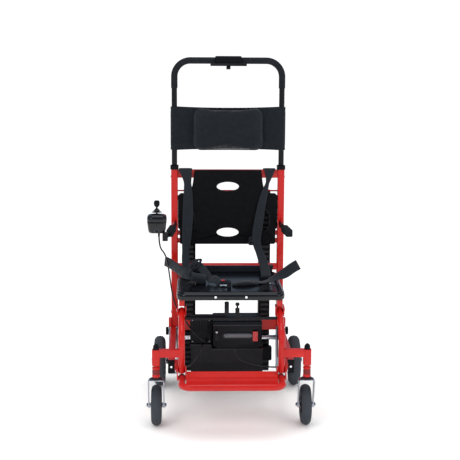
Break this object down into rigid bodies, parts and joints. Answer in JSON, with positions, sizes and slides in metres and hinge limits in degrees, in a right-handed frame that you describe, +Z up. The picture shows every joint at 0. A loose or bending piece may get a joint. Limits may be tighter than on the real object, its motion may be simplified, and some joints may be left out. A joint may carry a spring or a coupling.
{
  "type": "stair chair",
  "caption": "Powered tracked stair chair: red tube frame on casters and rear wheels, push handle, headrest, belted hinged seat, footrest and joystick armrest.",
  "frame": {"origin": "on the floor under the middle of the whole chair", "axes": "+Z up, the chair faces -Y, +X towards the plain armrest (the sitter's left)"},
  "size_m": [0.6275, 0.798, 1.342],
  "materials": {
    "frame_red": "satin powder coat",
    "dark_steel": "satin black paint",
    "bright_steel": "polished",
    "zinc_plate": "zinc plated",
    "aluminium_part": "machined",
    "black_plastic": "fine texture",
    "gloss_black": "gloss",
    "red_plastic": "gloss",
    "tyre_rubber": "matt rubber",
    "track_rubber": "moulded rubber",
    "foam_black": "closed-cell foam",
    "fabric_black": "woven nylon",
    "webbing": "woven webbing",
    "cable_sheath": "satin PVC"
  },
  "bodies": {
    "frame": {"back_frame": "frame_red", "upright_brackets": "frame_red", "side_rails": "frame_red", "legs": "frame_red", "outriggers": "frame_red", "end_caps": "black_plastic", "upright_collars": "black_plastic", "axle_brackets": "zinc_plate", "axles": "bright_steel", "back_panel": "black_plastic", "battery_rack": "dark_steel", "controller_box": "black_plastic", "seat_hinges": "dark_steel", "shoulder_strap_left": "webbing", "shoulder_strap_right": "webbing", "joystick_cable": "cable_sheath", "drive_cable_left": "cable_sheath", "drive_cable_right": "cable_sheath"},
    "handle": {"handle_tube": "dark_steel", "handle_grips": "foam_black", "handle_controller": "black_plastic"},
    "handle_paddle": {"handle_paddle": "black_plastic"},
    "handle_knob": {"handle_knob": "black_plastic"},
    "headrest": {"headrest_band": "fabric_black", "headrest_cushion": "fabric_black"},
    "armrest_left": {"arm_plate_left": "dark_steel", "arm_pad_left": "foam_black", "joystick_box": "black_plastic", "joystick_gaiter": "track_rubber"},
    "joystick_gimbal": {"joystick_gimbal": "aluminium_part"},
    "joystick_stick": {"joystick_stick": "black_plastic"},
    "armrest_right": {"arm_plate_right": "dark_steel", "arm_pad_right": "foam_black"},
    "seat": {"seat_pan": "gloss_black", "seat_rivets": "bright_steel", "lap_belt": "webbing", "belt_buckle": "black_plastic"},
    "buckle_button": {"buckle_button": "red_plastic"},
    "footrest": {"foot_frame": "frame_red", "foot_plate": "frame_red"},
    "track_unit": {"track_beams": "dark_steel", "track_belts": "track_rubber", "drive_housing": "dark_steel", "drive_motor": "black_plastic"},
    "drive_shaft": {"drive_pulleys": "aluminium_part"},
    "idler_shaft": {"idler_pulleys": "aluminium_part"},
    "battery": {"battery_pack": "black_plastic"},
    "battery_latch": {"battery_latch": "red_plastic"},
    "caster_fork_left": {"caster_fork_left": "bright_steel"},
    "caster_wheel_left": {"caster_tyre_left": "tyre_rubber", "caster_rim_left": "black_plastic"},
    "rear_wheel_left": {"rear_tyre_left": "tyre_rubber", "rear_rim_left": "black_plastic"},
    "lock_knob_left": {"lock_knob_left": "black_plastic"},
    "caster_fork_right": {"caster_fork_right": "bright_steel"},
    "caster_wheel_right": {"caster_tyre_right": "tyre_rubber", "caster_rim_right": "black_plastic"},
    "rear_wheel_right": {"rear_tyre_right": "tyre_rubber", "rear_rim_right": "black_plastic"},
    "lock_knob_right": {"lock_knob_right": "black_plastic"}
  },
  "joints": [
    {"name": "handle_slide", "type": "slide", "parent": "frame", "child": "handle", "axis": [0, 0, 1], "range_m": [-0.13, 0]},
    {"name": "headrest_slide", "type": "slide", "parent": "frame", "child": "headrest", "axis": [0, 0, 1], "range_m": [-0.062, 0]},
    {"name": "paddle_squeeze", "type": "slide", "parent": "handle", "child": "handle_paddle", "axis": [0, 1, 0], "range_m": [0, 0.005], "stiffness_N_per_m": 1500},
    {"name": "knob_turn", "type": "hinge", "parent": "handle", "child": "handle_knob", "pos_m": [0, 0.262, 1.297], "axis": [0, -1, 0], "range_deg": [-150, 150]},
    {"name": "armrest_left_lift", "type": "hinge", "parent": "frame", "child": "armrest_left", "pos_m": [-0.21, 0.258, 0.672], "axis": [-1, 0, 0], "range_deg": [0, 85]},
    {"name": "armrest_right_lift", "type": "hinge", "parent": "frame", "child": "armrest_right", "pos_m": [0.21, 0.258, 0.672], "axis": [-1, 0, 0], "range_deg": [0, 85]},
    {"name": "joystick_pitch", "type": "hinge", "parent": "armrest_left", "child": "joystick_gimbal", "pos_m": [-0.277, -0.0485, 0.738], "axis": [1, 0, 0], "range_deg": [-15, 15], "stiffness_Nm_per_rad": 0.6},
    {"name": "joystick_roll", "type": "hinge", "parent": "joystick_gimbal", "child": "joystick_stick", "pos_m": [-0.277, -0.0485, 0.738], "axis": [0, 1, 0], "range_deg": [-15, 15], "stiffness_Nm_per_rad": 0.6, "deforming": ["joystick_gaiter"]},
    {"name": "seat_flip", "type": "hinge", "parent": "frame", "child": "seat", "pos_m": [0, 0.2495, 0.497], "axis": [-1, 0, 0], "range_deg": [0, 76]},
    {"name": "buckle_press", "type": "slide", "parent": "seat", "child": "buckle_button", "axis": [0, 0, -1], "range_m": [0, 0.003], "stiffness_N_per_m": 800},
    {"name": "footrest_flip", "type": "hinge", "parent": "frame", "child": "footrest", "pos_m": [0, -0.2745, 0.216], "axis": [-1, 0, 0], "range_deg": [0, 90]},
    {"name": "track_swing", "type": "hinge", "parent": "frame", "child": "track_unit", "pos_m": [0, 0.3015, 0.188], "axis": [-1, 0, 0], "range_deg": [0, 38]},
    {"name": "drive_spin", "type": "hinge", "parent": "track_unit", "child": "drive_shaft", "pos_m": [0, 0.3595, 0.0695], "axis": [1, 0, 0], "continuous": true},
    {"name": "idler_spin", "type": "hinge", "parent": "track_unit", "child": "idler_shaft", "pos_m": [0, 0.3595, 0.7585], "axis": [1, 0, 0], "continuous": true},
    {"name": "battery_slide", "type": "slide", "parent": "frame", "child": "battery", "axis": [0, -1, 0], "range_m": [0, 0.15]},
    {"name": "battery_latch_lift", "type": "hinge", "parent": "battery", "child": "battery_latch", "pos_m": [0.107, 0.1155, 0.26], "axis": [-1, 0, 0], "range_deg": [0, 60]},
    {"name": "caster_swivel_left", "type": "hinge", "parent": "frame", "child": "caster_fork_left", "pos_m": [-0.276, -0.2745, 0.2], "axis": [0, 0, 1], "continuous": true},
    {"name": "caster_spin_left", "type": "hinge", "parent": "caster_fork_left", "child": "caster_wheel_left", "pos_m": [-0.276, -0.2395, 0.075], "axis": [1, 0, 0], "continuous": true},
    {"name": "rear_spin_left", "type": "hinge", "parent": "frame", "child": "rear_wheel_left", "pos_m": [-0.276, 0.2615, 0.1015], "axis": [1, 0, 0], "continuous": true},
    {"name": "lock_pull_left", "type": "slide", "parent": "frame", "child": "lock_knob_left", "axis": [-1, 0, 0], "range_m": [0, 0.008], "stiffness_N_per_m": 1200},
    {"name": "caster_swivel_right", "type": "hinge", "parent": "frame", "child": "caster_fork_right", "pos_m": [0.276, -0.2745, 0.2], "axis": [0, 0, 1], "continuous": true},
    {"name": "caster_spin_right", "type": "hinge", "parent": "caster_fork_right", "child": "caster_wheel_right", "pos_m": [0.276, -0.2395, 0.075], "axis": [1, 0, 0], "continuous": true},
    {"name": "rear_spin_right", "type": "hinge", "parent": "frame", "child": "rear_wheel_right", "pos_m": [0.276, 0.2615, 0.1015], "axis": [1, 0, 0], "continuous": true},
    {"name": "lock_pull_right", "type": "slide", "parent": "frame", "child": "lock_knob_right", "axis": [1, 0, 0], "range_m": [0, 0.008], "stiffness_N_per_m": 1200}
  ],
  "couplings": [
    {"joint": "headrest_slide", "follows": "handle_slide", "ratio": 0.46},
    {"joint": "idler_spin", "follows": "drive_spin", "ratio": 1}
  ]
}
